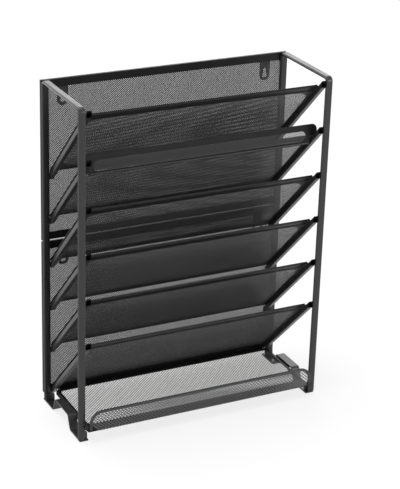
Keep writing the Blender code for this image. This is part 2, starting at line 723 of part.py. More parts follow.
for side, word in ((-1, "left"), (1, "right")):
    side_frame(f"side_frame_{word}", side)
    foot_strip(f"foot_strip_{word}", side)
    for number in range(1, TRAY_COUNT + 1):
        tray_rail(f"tray_rail_{word}_{number}", side, number)
for number in range(1, TRAY_COUNT + 1):
    tray_frame(number)
    tray_mesh(number)
fascia()
fascia_mesh()
for place_name, (bottom, top) in BACK_PANELS.items():
    back_frame(f"back_frame_{place_name}", bottom, top)
    back_mesh(f"back_mesh_{place_name}", bottom, top)
    for side, word in ((-1, "left"), (1, "right")):
        hang_tab(f"hang_tab_{place_name}_{word}", side, top)
        for count, place in enumerate(back_screw_places(side, bottom, top), 1):
            screw(f"back_screw_{place_name}_{word}_{count}", place, Vector((0, 1, 0)), BACK_SCREW_SHANK)
shelf_frame()
shelf_mesh()
shelf_rim()
shelf_front()
for side, word in ((-1, "left"), (1, "right")):
    for count, y in enumerate(ear_screw_rows(), 1):
        place = Vector((side * (STRIP_INNER_X + EAR_REACH / 2), y, SHELF_TOP - SHELF_SHEET))
        screw(f"bottom_tray_screw_{word}_{count}", place, Vector((0, 0, -1)), EAR_SCREW_SHANK)
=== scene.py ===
import math

import bmesh
import bpy
from mathutils import Matrix, Vector


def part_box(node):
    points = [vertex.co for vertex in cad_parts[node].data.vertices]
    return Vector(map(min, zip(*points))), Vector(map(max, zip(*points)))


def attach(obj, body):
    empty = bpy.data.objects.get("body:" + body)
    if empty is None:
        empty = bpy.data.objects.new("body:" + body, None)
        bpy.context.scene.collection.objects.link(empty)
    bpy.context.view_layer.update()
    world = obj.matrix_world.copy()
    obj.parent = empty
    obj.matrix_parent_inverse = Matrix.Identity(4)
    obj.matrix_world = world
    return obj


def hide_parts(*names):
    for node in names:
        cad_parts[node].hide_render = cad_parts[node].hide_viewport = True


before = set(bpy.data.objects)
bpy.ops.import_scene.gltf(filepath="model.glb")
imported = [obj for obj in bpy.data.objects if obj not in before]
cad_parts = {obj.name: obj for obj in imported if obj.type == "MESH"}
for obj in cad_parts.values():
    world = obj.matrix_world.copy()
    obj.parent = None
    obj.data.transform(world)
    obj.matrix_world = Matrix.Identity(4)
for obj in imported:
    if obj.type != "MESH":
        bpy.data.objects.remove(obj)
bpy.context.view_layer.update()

# The view of the rack from the left front and above, on a pale sweep of studio paper. The lens, place
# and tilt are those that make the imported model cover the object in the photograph.
camera_data = bpy.data.cameras.new("view")
camera_data.sensor_fit = "VERTICAL"
camera_data.sensor_height = 36
camera_data.lens = 122.93
camera_data.clip_end = 60
camera_place = (-0.912, -1.8297, 1.1029)
camera = bpy.data.objects.new("view", camera_data)
sight = Vector((0.4182, 0.8192, -0.3925)).normalized()
image_right = Vector((0.8957, -0.4437, 0.0283)).normalized()
image_up = image_right.cross(sight).normalized()
camera.matrix_world = Matrix.Translation(camera_place) @ Matrix(
    (image_right, image_up, -sight)).transposed().to_4x4()
bpy.context.scene.collection.objects.link(camera)
bpy.context.scene.camera = camera
bpy.context.scene.view_settings.view_transform = "Standard"


def seen_rays(tree):
    """1 for a ray by which the camera, gloss or glass sees the paper or the air round it, else 0."""
    rays = tree.nodes.new("ShaderNodeLightPath").outputs
    seen = rays["Is Camera Ray"]
    for ray in ("Is Glossy Ray", "Is Transmission Ray"):
        either = tree.nodes.new("ShaderNodeMath")
        either.operation = "MAXIMUM"
        tree.links.new(seen, either.inputs[0])
        tree.links.new(rays[ray], either.inputs[1])
        seen = either.outputs[0]
    return seen


def paper(name, lit, seen_lit, glow):
    """White studio paper. It takes the rack's shadow, which shows softened on near white."""
    material = bpy.data.materials.new(name)
    material.use_nodes = True
    nodes = material.node_tree.nodes
    links = material.node_tree.links
    shader = nodes["Principled BSDF"]
    shader.inputs["Roughness"].default_value = 0.9
    shader.inputs["Specular IOR Level"].default_value = 0.1
    seen = seen_rays(material.node_tree)
    tone = nodes.new("ShaderNodeMapRange")
    tone.inputs["To Min"].default_value = lit
    tone.inputs["To Max"].default_value = seen_lit
    links.new(seen, tone.inputs["Value"])
    links.new(tone.outputs["Result"], shader.inputs["Base Color"])
    white = nodes.new("ShaderNodeMath")
    white.operation = "MULTIPLY"
    white.inputs[1].default_value = glow
    links.new(seen, white.inputs[0])
    light = nodes.new("ShaderNodeEmission")
    links.new(white.outputs[0], light.inputs["Strength"])
    both = nodes.new("ShaderNodeAddShader")
    links.new(shader.outputs[0], both.inputs[0])
    links.new(light.outputs[0], both.inputs[1])
    links.new(both.outputs[0], nodes["Material Output"].inputs["Surface"])
    return material


floor_reach = 9
floor_mesh = bpy.data.meshes.new("floor")
floor_mesh.from_pydata(
    [(x * floor_reach, y * floor_reach, 0) for x, y in ((-1, -1), (1, -1), (1, 1), (-1, 1))], [],
    [(0, 1, 2, 3)])
floor_mesh.materials.append(paper("floor_paper", lit=0.80, seen_lit=0.26, glow=0.77))
floor = bpy.data.objects.new("floor", floor_mesh)
bpy.context.scene.collection.objects.link(floor)

world = bpy.data.worlds.new("studio")
world.use_nodes = True
bpy.context.scene.world = world
air = world.node_tree.nodes
dome = air.new("ShaderNodeMapRange")
dome.inputs["To Min"].default_value = 0.36
dome.inputs["To Max"].default_value = 1.0
world.node_tree.links.new(seen_rays(world.node_tree), dome.inputs["Value"])
air["Background"].inputs["Color"].default_value = (1, 1, 1, 1)
world.node_tree.links.new(dome.outputs["Result"], air["Background"].inputs["Strength"])


def soft_lamp(name, place, target, size, power):
    """A soft box of this size and power in watts, aimed at a point."""
    lamp = bpy.data.lights.new(name, "AREA")
    lamp.shape = "RECTANGLE"
    lamp.size, lamp.size_y = size
    lamp.energy = power
    holder = bpy.data.objects.new(name, lamp)
    aim = (Vector(target) - Vector(place)).to_track_quat("-Z", "Y")
    holder.matrix_world = Matrix.Translation(place) @ aim.to_matrix().to_4x4()
    holder.visible_camera = False
    bpy.context.scene.collection.objects.link(holder)


soft_lamp("lamp_above", place=(-0.4, 0.3, 2.6), target=(0, 0, 0.25), size=(1.6, 1.2), power=34)
soft_lamp("lamp_left", place=(-2.3, -0.6, 0.7), target=(0, 0, 0.22), size=(0.9, 1.2), power=20)
soft_lamp("lamp_front", place=(1.6, -2.2, 1.0), target=(0, 0, 0.22), size=(1.2, 1.0), power=20)
soft_lamp("lamp_behind", place=(1.3, 2.5, 1.55), target=(0, 0, 0.45), size=(1.7, 0.9), power=15)
soft_lamp("lamp_rim", place=(-1.5, 2.5, 0.5), target=(0, 0, 0.25), size=(1.2, 0.8), power=14)

# Side frames. Each is one flat steel tube, 10 by 4 mm, bent into front leg, top rail and rear leg and
# powder coated satin black. It stands on its foot strip, where it is welded.
leg_width = 0.010
leg_depth = 0.004
leg_edge = 0.0018
top_bend = 0.005
bend_steps = 9
edge_steps = 4
peel_depth = 0.00008


def feed(tree, socket, value):
    """Give a socket a plain number, or another node's result."""
    if isinstance(value, (int, float)):
        socket.default_value = value
    else:
        tree.links.new(value, socket)


def worked(tree, operation, *values):
    """The result of a maths node whose inputs are numbers or other nodes' results."""
    node = tree.nodes.new("ShaderNodeMath")
    node.operation = operation
    for socket, value in zip(node.inputs, values):
        feed(tree, socket, value)
    return node.outputs[0]


def add_coat_detail():
    """Powder coat: orange peel, fine grain, clouds in the gloss, dust that lies on upward faces."""
    group = bpy.data.node_groups.new("powder_coat", "ShaderNodeTree")
    sockets = (
        ("Coat", "NodeSocketColor", (0.03, 0.03, 0.03, 1)), ("Gloss", "NodeSocketFloat", 0.38),
        ("Peel", "NodeSocketFloat", 520.0), ("Dust", "NodeSocketFloat", 0.05),
    )
    for name, kind, start in sockets:
        group.interface.new_socket(name, in_out="INPUT", socket_type=kind).default_value = start
    for name, kind in (
            ("Color", "NodeSocketColor"), ("Roughness", "NodeSocketFloat"), ("Height", "NodeSocketFloat")):
        group.interface.new_socket(name, in_out="OUTPUT", socket_type=kind)
    nodes = group.nodes
    join = group.links.new
    given = nodes.new("NodeGroupInput").outputs
    result = nodes.new("NodeGroupOutput").inputs
    place = nodes.new("ShaderNodeTexCoord").outputs

    def cloud(scale, detail):
        noise = nodes.new("ShaderNodeTexNoise")
        noise.inputs["Detail"].default_value = detail
        join(place["Object"], noise.inputs["Vector"])
        feed(group, noise.inputs["Scale"], scale)
        return noise.outputs["Fac"]

    def ranged(value, low, high, to_low, to_high):
        node = nodes.new("ShaderNodeMapRange")
        for socket, number in zip(node.inputs[1:5], (low, high, to_low, to_high)):
            socket.default_value = number
        join(value, node.inputs[0])
        return node.outputs[0]

    grain_share = 0.35
    dust_colour = (0.30, 0.29, 0.27, 1)
    peel = cloud(given["Peel"], detail=2)
    grain = worked(group, "MULTIPLY", cloud(scale=2600, detail=3), grain_share)
    join(worked(group, "ADD", grain, peel), result["Height"])
    clouds = ranged(cloud(scale=14, detail=3), low=0.3, high=0.7, to_low=-0.05, to_high=0.06)
    join(worked(group, "ADD", given["Gloss"], clouds), result["Roughness"])

    split = nodes.new("ShaderNodeSeparateXYZ")
    join(nodes.new("ShaderNodeNewGeometry").outputs["Normal"], split.inputs[0])
    facing_up = ranged(split.outputs["Z"], low=0.5, high=0.95, to_low=0.0, to_high=1.0)
    specks = ranged(cloud(scale=160, detail=6), low=0.42, high=0.75, to_low=0.15, to_high=1.0)
    settled = worked(group, "MULTIPLY", worked(group, "MULTIPLY", facing_up, specks), given["Dust"])
    dusty = nodes.new("ShaderNodeMix")
    dusty.data_type = "RGBA"
    colours = [socket for socket in dusty.inputs if socket.type == "RGBA"]
    join(settled, dusty.inputs[0])
    join(given["Coat"], colours[0])
    colours[1].default_value = dust_colour
    join([socket for socket in dusty.outputs if socket.type == "RGBA"][0], result["Color"])
    return group


coat_detail = add_coat_detail()


def powder_coat(name, coat, gloss, peel, dust, relief, shine=0.5):
    """A satin black powder coat for one kind of stock."""
    material = bpy.data.materials.new(name)
    material.use_nodes = True
    nodes = material.node_tree.nodes
    links = material.node_tree.links
    shader = nodes["Principled BSDF"]
    detail = nodes.new("ShaderNodeGroup")
    detail.node_tree = coat_detail
    detail.inputs["Coat"].default_value = (coat, coat, coat, 1)
    detail.inputs["Gloss"].default_value = gloss
    detail.inputs["Peel"].default_value = peel
    detail.inputs["Dust"].default_value = dust
    shader.inputs["Specular IOR Level"].default_value = shine
    bump = nodes.new("ShaderNodeBump")
    bump.inputs["Strength"].default_value = relief
    bump.inputs["Distance"].default_value = peel_depth
    links.new(detail.outputs["Color"], shader.inputs["Base Color"])
    links.new(detail.outputs["Roughness"], shader.inputs["Roughness"])
    links.new(detail.outputs["Height"], bump.inputs["Height"])
    links.new(bump.outputs["Normal"], shader.inputs["Normal"])
    return material


tube_coat = powder_coat("tube_coat", coat=0.016, gloss=0.34, peel=520, dust=0.05, relief=0.5)


def add_bent_bar():
    """Geometry Nodes: flat bar that follows a bent path, with rounded edges and closed ends."""
    group = bpy.data.node_groups.new("bent_bar", "GeometryNodeTree")
    group.interface.new_socket("Geometry", in_out="INPUT", socket_type="NodeSocketGeometry")
    group.interface.new_socket("Across", in_out="INPUT", socket_type="NodeSocketVector")
    for name in ("Bar Width", "Bar Depth", "Edge Radius", "Bend Radius"):
        group.interface.new_socket(name, in_out="INPUT", socket_type="NodeSocketFloat")
    group.interface.new_socket("Finish", in_out="INPUT", socket_type="NodeSocketMaterial")
    group.interface.new_socket("Geometry", in_out="OUTPUT", socket_type="NodeSocketGeometry")
    nodes = group.nodes
    join = group.links.new
    given = nodes.new("NodeGroupInput").outputs
    path = nodes.new("GeometryNodeMeshToCurve")
    bends = nodes.new("GeometryNodeFilletCurve")
    bends.mode = "POLY"
    bends.inputs["Count"].default_value = bend_steps
    facing = nodes.new("GeometryNodeSetCurveNormal")
    facing.mode = "FREE"
    section = nodes.new("GeometryNodeCurvePrimitiveQuadrilateral")
    edges = nodes.new("GeometryNodeFilletCurve")
    edges.mode = "POLY"
    edges.inputs["Count"].default_value = edge_steps
    skin = nodes.new("GeometryNodeCurveToMesh")
    skin.inputs["Fill Caps"].default_value = True
    finish = nodes.new("GeometryNodeSetMaterial")
    join(given["Geometry"], path.inputs["Mesh"])
    join(path.outputs[0], bends.inputs["Curve"])
    join(given["Bend Radius"], bends.inputs["Radius"])
    join(bends.outputs[0], facing.inputs["Curve"])
    join(given["Across"], facing.inputs["Normal"])
    join(given["Bar Width"], section.inputs["Width"])
    join(given["Bar Depth"], section.inputs["Height"])
    join(section.outputs[0], edges.inputs["Curve"])
    join(given["Edge Radius"], edges.inputs["Radius"])
    join(facing.outputs[0], skin.inputs["Curve"])
    join(edges.outputs[0], skin.inputs["Profile Curve"])
    join(skin.outputs[0], finish.inputs["Geometry"])
    join(given["Finish"], finish.inputs["Material"])
    join(finish.outputs[0], nodes.new("NodeGroupOutput").inputs["Geometry"])
    return group


bent_bar = add_bent_bar()


def made_by(group, name, start, inputs):
    """The plain mesh object that a node group makes of a starting mesh."""
    source = bpy.data.objects.new(name + "_start", start)
    bpy.context.scene.collection.objects.link(source)
    step = source.modifiers.new("nodes", "NODES")
    step.node_group = group
    for socket in group.interface.items_tree:
        if socket.in_out == "INPUT" and socket.name in inputs:
            step[socket.identifier] = inputs[socket.name]
    shape = bpy.data.meshes.new_from_object(source.evaluated_get(bpy.context.evaluated_depsgraph_get()))
    bpy.data.objects.remove(source)
    shape.name = name
    piece = bpy.data.objects.new(name, shape)
    bpy.context.scene.collection.objects.link(piece)
    return piece


def path_mesh(name, points):
    """The line through these points that a bar follows."""
    path = bpy.data.meshes.new(name)
    path.from_pydata(points, [(i, i + 1) for i in range(len(points) - 1)], [])
    return path


def smoothed(piece, flat_faces=True):
    """Smooth shading. Flat faces stay flat, or look slightly crowned as on rolled tube."""
    sharp_angle = 50
    shape = bmesh.new()
    shape.from_mesh(piece.data)
    bmesh.ops.recalc_face_normals(shape, faces=shape.faces)
    for face in shape.faces:
        face.smooth = True
    shape.to_mesh(piece.data)
    shape.free()
    piece.data.set_sharp_from_angle(angle=math.radians(sharp_angle))
    if flat_faces:
        weigh = piece.modifiers.new("flat faces stay flat", "WEIGHTED_NORMAL")
        weigh.keep_sharp = True


def finished(piece, slot, *nodes):
    """Let a piece ride on the rack, in the place of any nodes named. The slot is not used."""
    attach(piece, "root")
    if nodes:
        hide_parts(*nodes)


for word in ("left", "right"):
    low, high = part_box("side_frame_" + word)
    middle = (low.x + high.x) / 2
    near = low.y + leg_depth / 2
    far = high.y - leg_depth / 2
    crown = high.z - leg_depth / 2
    path = path_mesh("leg_path", [
        (middle, near, low.z), (middle, near, crown), (middle, far, crown), (middle, far, low.z)])
    side_frame = made_by(bent_bar, "bent_tube_" + word, path, {
        "Across": (1, 0, 0), "Bar Width": leg_width, "Bar Depth": leg_depth, "Edge Radius": leg_edge,
        "Bend Radius": top_bend, "Finish": tube_coat})
    smoothed(side_frame, flat_faces=False)
    finished(side_frame, "coated_tube", "side_frame_" + word)

# Foot strips. Each is flat steel, 12.5 by 2 mm, bent down into two feet with a raised bridge between
# them. An upright tab behind the front leg, and one before the rear leg, hold the legs in the weld.
strip_thickness = 0.002
strip_edge = 0.0007
strip_bend = 0.0035
bridge_length = 0.043
riser_lean = 0.0085
bridge_clearance = 0.019
tab_height = 0.0125
tab_thickness = 0.0015
tab_round = 0.003
tab_edge = 0.0003
fit_gap = 0.0003
same_point = 0.00001


def round_outline(left, right, bottom, top, radii, steps=12):
    """Corner points of a rectangle, with the radii given from bottom left round to top left."""
    points = []
    for x, y, to_x, to_y, start, radius in (
            (left, bottom, 1, 1, 180, radii[0]), (right, bottom, -1, 1, 270, radii[1]),
            (right, top, -1, -1, 0, radii[2]), (left, top, 1, -1, 90, radii[3])):
        if radius == 0:
            points.append((x, y))
            continue
        for step in range(steps + 1):
            turn = math.radians(start + 90 * step / steps)
            points.append((
                x + to_x * radius + radius * math.cos(turn), y + to_y * radius + radius * math.sin(turn)))
    return points


def flat_blank(outline, holes=()):
    """A sheet metal blank with its holes, before it gets its thickness."""
    shape = bmesh.new()
    for loop in [outline] + list(holes):
        corners = [shape.verts.new((x, y, 0)) for x, y in loop]
        for i, corner in enumerate(corners):
            shape.edges.new((corner, corners[(i + 1) % len(corners)]))
    bmesh.ops.remove_doubles(shape, verts=shape.verts, dist=same_point)
    bmesh.ops.triangle_fill(shape, use_beauty=True, use_dissolve=False, edges=shape.edges[:])
    bmesh.ops.recalc_face_normals(shape, faces=shape.faces)
    if shape.faces[0].normal.z < 0:
        bmesh.ops.reverse_faces(shape, faces=shape.faces)
    return shape


def pressed(name, shape, placing, thickness, edge, finish):
    """Give a blank its place, its thickness behind its face and its rolled edges."""
    shape.transform(placing)
    mesh = bpy.data.meshes.new(name)
    shape.to_mesh(mesh)
    shape.free()
    mesh.materials.append(finish)
    mesh.shade_smooth()
    piece = bpy.data.objects.new(name, mesh)
    bpy.context.scene.collection.objects.link(piece)
    sheet = piece.modifiers.new("sheet", "SOLIDIFY")
    sheet.thickness = thickness
    sheet.offset = -1
    sheet.use_even_offset = True
    rolled = piece.modifiers.new("rolled edges", "BEVEL")
    rolled.width = edge
    rolled.segments = 3
    rolled.limit_method = "ANGLE"
    rolled.angle_limit = math.radians(40)
    rolled.harden_normals = True
    return piece


def upright(y):
    """Stand a flat drawing up at this depth, its face to the front."""
    return Matrix.Translation((0, y, 0)) @ Matrix.Rotation(math.radians(90), 4, "X")


strip_coat = powder_coat("strip_coat", coat=0.018, gloss=0.36, peel=460, dust=0.06, relief=0.45)

for word in ("left", "right"):
    low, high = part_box("foot_strip_" + word)
    middle_x = (low.x + high.x) / 2
    middle_y = (low.y + high.y) / 2
    half = strip_thickness / 2
    mitre = strip_thickness * (math.hypot(riser_lean, bridge_clearance) - riser_lean) / bridge_clearance / 2
    shoulder = bridge_length / 2 + mitre
    path = path_mesh("strip_path", [
        (middle_x, low.y, half), (middle_x, middle_y - shoulder - riser_lean, half),
        (middle_x, middle_y - shoulder, bridge_clearance + half),
        (middle_x, middle_y + shoulder, bridge_clearance + half),
        (middle_x, middle_y + shoulder + riser_lean, half), (middle_x, high.y, half)])
    strip = made_by(bent_bar, "foot_" + word, path, {
        "Across": (1, 0, 0), "Bar Width": high.x - low.x, "Bar Depth": strip_thickness,
        "Edge Radius": strip_edge, "Bend Radius": strip_bend, "Finish": strip_coat})
    smoothed(strip)
    finished(strip, "coated_sheet", "foot_strip_" + word)
    leg_low, leg_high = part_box("side_frame_" + word)
    leg_tabs = flat_blank(round_outline(
        low.x, high.x, strip_thickness, tab_height, [0, 0, tab_round, tab_round]))
    front_tab_y = leg_low.y + leg_depth + fit_gap
    rear_tab_y = leg_high.y - leg_depth - fit_gap - tab_thickness
    for place_word, tab_y in (("front", front_tab_y), ("rear", rear_tab_y)):
        tab = pressed(
            f"leg_tab_{place_word}_{word}", leg_tabs.copy(), upright(tab_y), tab_thickness, tab_edge,
            strip_coat)
        finished(tab, "coated_sheet")
    leg_tabs.free()

# Tray rails. Six on each side slope from the front leg to the rear leg at 45 degrees and carry the
# trays. Each is flat tube cut upright at both ends, open in front, and welded to the legs.
tray_pitch = 0.0628
tray_count = 6
rail_height = 0.009
rail_width = 0.0072
rail_wall = 0.0011
rail_edge = 0.0012
mouth_depth = 0.02


def add_repeat_down():
    """Geometry Nodes: copies of one piece at an even pitch down the rack."""
    group = bpy.data.node_groups.new("repeat_down", "GeometryNodeTree")
    group.interface.new_socket("Geometry", in_out="INPUT", socket_type="NodeSocketGeometry")
    for name, kind in (
            ("Count", "NodeSocketInt"), ("Pitch", "NodeSocketFloat"), ("Finish", "NodeSocketMaterial")):
        group.interface.new_socket(name, in_out="INPUT", socket_type=kind)
    group.interface.new_socket("Geometry", in_out="OUTPUT", socket_type="NodeSocketGeometry")
    nodes = group.nodes
    join = group.links.new
    given = nodes.new("NodeGroupInput").outputs
    step = nodes.new("ShaderNodeCombineXYZ")
    join(worked(group, "MULTIPLY", given["Pitch"], -1.0), step.inputs["Z"])
    line = nodes.new("GeometryNodeMeshLine")
    join(given["Count"], line.inputs["Count"])
    join(step.outputs[0], line.inputs["Offset"])
    copies = nodes.new("GeometryNodeInstanceOnPoints")
    join(line.outputs[0], copies.inputs["Points"])
    join(given["Geometry"], copies.inputs["Instance"])
    solid = nodes.new("GeometryNodeRealizeInstances")
    join(copies.outputs[0], solid.inputs[0])
    finish = nodes.new("GeometryNodeSetMaterial")
    join(solid.outputs[0], finish.inputs["Geometry"])
    join(given["Finish"], finish.inputs["Material"])
    join(finish.outputs[0], nodes.new("NodeGroupOutput").inputs["Geometry"])
    return group


repeat_down = add_repeat_down()

for word in ("left", "right"):
    low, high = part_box(f"tray_rail_{word}_1")
    outer_left = low.x if word == "left" else high.x - rail_width
    shape = bmesh.new()
    corners = [
        shape.verts.new((outer_left, y, z)) for y, z in (
            (low.y, high.z), (low.y, high.z - rail_height), (high.y, low.z), (high.y, low.z + rail_height))]
    pulled = bmesh.ops.extrude_face_region(shape, geom=[shape.faces.new(corners)])
    moved = [item for item in pulled["geom"] if isinstance(item, bmesh.types.BMVert)]
    bmesh.ops.translate(shape, verts=moved, vec=(rail_width, 0, 0))
    bmesh.ops.recalc_face_normals(shape, faces=shape.faces)
    long_edges = [edge for edge in shape.edges if abs(edge.verts[0].co.y - edge.verts[1].co.y) > rail_height]
    bmesh.ops.bevel(
        shape, geom=long_edges, offset=rail_edge, segments=4, profile=0.5, affect="EDGES")
    mouth = [face for face in shape.faces if face.normal.y < -0.9]
    bmesh.ops.inset_region(shape, faces=mouth, thickness=rail_wall)
    bmesh.ops.translate(
        shape, verts=list({corner for face in mouth for corner in face.verts}),
        vec=(0, mouth_depth, -mouth_depth))
    one_rail = bpy.data.meshes.new("one_rail")
    shape.to_mesh(one_rail)
    shape.free()
    rails = made_by(repeat_down, "sloping_rails_" + word, one_rail, {
        "Count": tray_count, "Pitch": tray_pitch, "Finish": tube_coat})
    smoothed(rails)
    finished(rails, "coated_tube", *[f"tray_rail_{word}_{number}" for number in range(1, tray_count + 1)])

# Slanted trays. Each is a pressed steel frame over the edges of its mesh, with large round corners to
# its window, lying on a pair of rails. A low lip turns up along the front edge of all but the second.
frame_sheet = 0.0012
mesh_sheet = 0.001
tray_setback = 0.013
wall_tray_setback = 0.0184
lip_height = 0.0014
lip_end = 0.004
slope = math.radians(45)
front_border = 0.0135
side_border = 0.0085
rear_border = 0.012
window_round = 0.022
mesh_lap = 0.0043
strand_pitch = 0.0019
strand_angle = math.radians(42)
strand_width = 0.00085
strand_thickness = 0.00036
strand_lift = 0.12
sheet_edge = 0.0004


def add_expanded_mesh():
    """Geometry Nodes: flattened expanded steel, as two crossing families of strands.

    The strands fill a rectangle with round corners. Each is one hexagonal bar whose ends are worked
    out from its distance to the middle, so none sticks out past the edge.
    """
    group = bpy.data.node_groups.new("expanded_mesh", "GeometryNodeTree")
    group.interface.new_socket("Geometry", in_out="INPUT", socket_type="NodeSocketGeometry")
    for name in ("Width", "Height", "Corner", "Pitch", "Angle", "Strand", "Thickness"):
        group.interface.new_socket(name, in_out="INPUT", socket_type="NodeSocketFloat")
    group.interface.new_socket("Finish", in_out="INPUT", socket_type="NodeSocketMaterial")
    group.interface.new_socket("Geometry", in_out="OUTPUT", socket_type="NodeSocketGeometry")
    nodes = group.nodes
    join = group.links.new
    given = nodes.new("NodeGroupInput").outputs

    def sums(operation, *values):
        return worked(group, operation, *values)

    def joined(kind, **inputs):
        node = nodes.new(kind)
        for name, value in inputs.items():
            feed(group, node.inputs[name], value)
        return node.outputs[0]

    half_x = sums("MULTIPLY", given["Width"], 0.5)
    half_y = sums("MULTIPLY", given["Height"], 0.5)
    flat_x = sums("SUBTRACT", half_x, given["Corner"])
    flat_y = sums("SUBTRACT", half_y, given["Corner"])
    reach = sums("DIVIDE", sums("ADD", half_x, half_y), given["Pitch"])
    count = sums("MULTIPLY_ADD", sums("CEIL", reach), 2.0, 1.0)
    bar = nodes.new("GeometryNodeMeshCylinder")
    bar.inputs["Vertices"].default_value = 6
    bar.inputs["Radius"].default_value = 1
    bar.inputs["Depth"].default_value = 1
    girth = joined(
        "ShaderNodeCombineXYZ", X=sums("MULTIPLY", given["Strand"], 0.5),
        Y=sums("DIVIDE", given["Thickness"], math.sqrt(3)), Z=1.0)
    lain = nodes.new("GeometryNodeTransform")
    lain.inputs["Rotation"].default_value = (math.radians(90), 0, math.radians(90))
    join(bar.outputs["Mesh"], lain.inputs["Geometry"])
    join(girth, lain.inputs["Scale"])
    families = nodes.new("GeometryNodeJoinGeometry")
    for lean in (-1.0, 1.0):
        line = nodes.new("GeometryNodeMeshLine")
        join(count, line.inputs["Count"])
        run_x = sums("COSINE", given["Angle"])
        run_y = sums("MULTIPLY", sums("SINE", given["Angle"]), lean)
        off_x = sums("MULTIPLY", run_y, -1.0)
        off_y = run_x
        middle = sums("MULTIPLY", sums("SUBTRACT", count, 1.0), 0.5)
        number = nodes.new("GeometryNodeInputIndex").outputs[0]
        place = sums("MULTIPLY", sums("SUBTRACT", number, middle), given["Pitch"])
        from_x = sums("MULTIPLY", place, off_x)
        from_y = sums("MULTIPLY", place, off_y)
        ends = []
        for end, pick, narrow in ((-1.0, "MINIMUM", "MAXIMUM"), (1.0, "MAXIMUM", "MINIMUM")):
            to_side = sums("DIVIDE", sums("SUBTRACT", sums("MULTIPLY", half_x, end), from_x), run_x)
            low_edge = sums("DIVIDE", sums("SUBTRACT", sums("MULTIPLY", half_y, -1.0), from_y), run_y)
            high_edge = sums("DIVIDE", sums("SUBTRACT", half_y, from_y), run_y)
            along = sums(narrow, to_side, sums(pick, low_edge, high_edge))
            end_x = sums("MULTIPLY_ADD", along, run_x, from_x)
            end_y = sums("MULTIPLY_ADD", along, run_y, from_y)
            past = sums("MINIMUM", sums("SUBTRACT", sums("ABSOLUTE", end_x), flat_x),
                        sums("SUBTRACT", sums("ABSOLUTE", end_y), flat_y))
            in_corner = sums("GREATER_THAN", past, 0.0)
            turn_x = sums("MULTIPLY", sums("SIGN", end_x), flat_x)
            turn_y = sums("MULTIPLY", sums("SIGN", end_y), flat_y)
            across = sums("MULTIPLY_ADD", turn_x, off_x, sums("MULTIPLY", turn_y, off_y))
            beside = sums("SUBTRACT", across, place)
            level = sums("MULTIPLY_ADD", turn_x, run_x, sums("MULTIPLY", turn_y, run_y))
            room = sums("SUBTRACT", sums("POWER", given["Corner"], 2.0), sums("MULTIPLY", beside, beside))
            on_arc = sums("MULTIPLY_ADD", sums("SQRT", sums("MAXIMUM", room, 0.0)), end, level)
            ends.append(sums("MULTIPLY_ADD", sums("SUBTRACT", on_arc, along), in_corner, along))
        length = sums("SUBTRACT", ends[1], ends[0])
        centre = sums("MULTIPLY", sums("ADD", ends[0], ends[1]), 0.5)
        position = joined(
            "ShaderNodeCombineXYZ", X=sums("MULTIPLY_ADD", centre, run_x, from_x),
            Y=sums("MULTIPLY_ADD", centre, run_y, from_y),
            Z=sums("MULTIPLY", given["Thickness"], strand_lift * lean))
        placed = joined("GeometryNodeSetPosition", Geometry=line.outputs[0], Position=position)
        strands = nodes.new("GeometryNodeInstanceOnPoints")
        join(placed, strands.inputs["Points"])
        join(sums("GREATER_THAN", length, given["Strand"]), strands.inputs["Selection"])
        join(lain.outputs[0], strands.inputs["Instance"])
        join(joined("ShaderNodeCombineXYZ", Z=sums("MULTIPLY", given["Angle"], lean)),
             strands.inputs["Rotation"])
        join(joined("ShaderNodeCombineXYZ", X=length, Y=1.0, Z=1.0), strands.inputs["Scale"])
        join(strands.outputs[0], families.inputs[0])
    solid = joined("GeometryNodeRealizeInstances", Geometry=families.outputs[0])
    finish = joined("GeometryNodeSetMaterial", Geometry=solid, Material=given["Finish"])
    join(finish, nodes.new("NodeGroupOutput").inputs["Geometry"])
    return group


expanded_mesh = add_expanded_mesh()
# Pressed sheets take a coat darker than the tubes' black: painted shade, so the sheets read as lying in
# shade.
shaded_sheet_coat = powder_coat(
    "shaded_sheet_coat", coat=0.006, gloss=0.44, peel=460, dust=0.05, relief=0.45, shine=0.25)
# Mesh strands take a coat lighter than the tubes' black: painted light on the mesh.
painted_light_mesh_coat = powder_coat("painted_light_mesh_coat", coat=0.033, gloss=0.42, peel=900, dust=0.04, relief=0.3)


def mesh_panel(name, window, corner, placing, pitch=strand_pitch, strand=strand_width, finish=painted_light_mesh_coat):
    """A panel of expanded steel mesh over a window of (left, right, bottom, top)."""
    left, right, bottom, top = window
    panel = made_by(expanded_mesh, name, bpy.data.meshes.new("strand_start"), {
        "Width": right - left, "Height": top - bottom, "Corner": corner, "Pitch": pitch,
        "Angle": strand_angle, "Strand": strand, "Thickness": strand_thickness, "Finish": finish})
    centred = Matrix.Translation(((left + right) / 2, (bottom + top) / 2, 0))
    panel.data.transform(placing @ centred)
    return panel


def widened(window, margin):
    """A window with this much more on every side."""
    left, right, bottom, top = window
    return (left - margin, right + margin, bottom - margin, top + margin)


def folded(shape, edges, height):
    """Turn these edges of a blank up by a height, or down where it is negative."""
    pulled = bmesh.ops.extrude_edge_only(shape, edges=edges)
    moved = [item for item in pulled["geom"] if isinstance(item, bmesh.types.BMVert)]
    bmesh.ops.translate(shape, verts=moved, vec=(0, 0, height))
    bmesh.ops.recalc_face_normals(shape, faces=shape.faces)
    widest = max(shape.faces, key=lambda face: face.calc_area())
    if widest.normal.z < 0:
        bmesh.ops.reverse_faces(shape, faces=shape.faces)


def fold_up(shape, line, reach, height):
    """Turn a blank's front edge up along a line, between the two ends of the fold."""
    folded(shape, [
        edge for edge in shape.edges
        if all(abs(corner.co.y - line) < fit_gap and abs(corner.co.x) < reach for corner in edge.verts)],
        height)


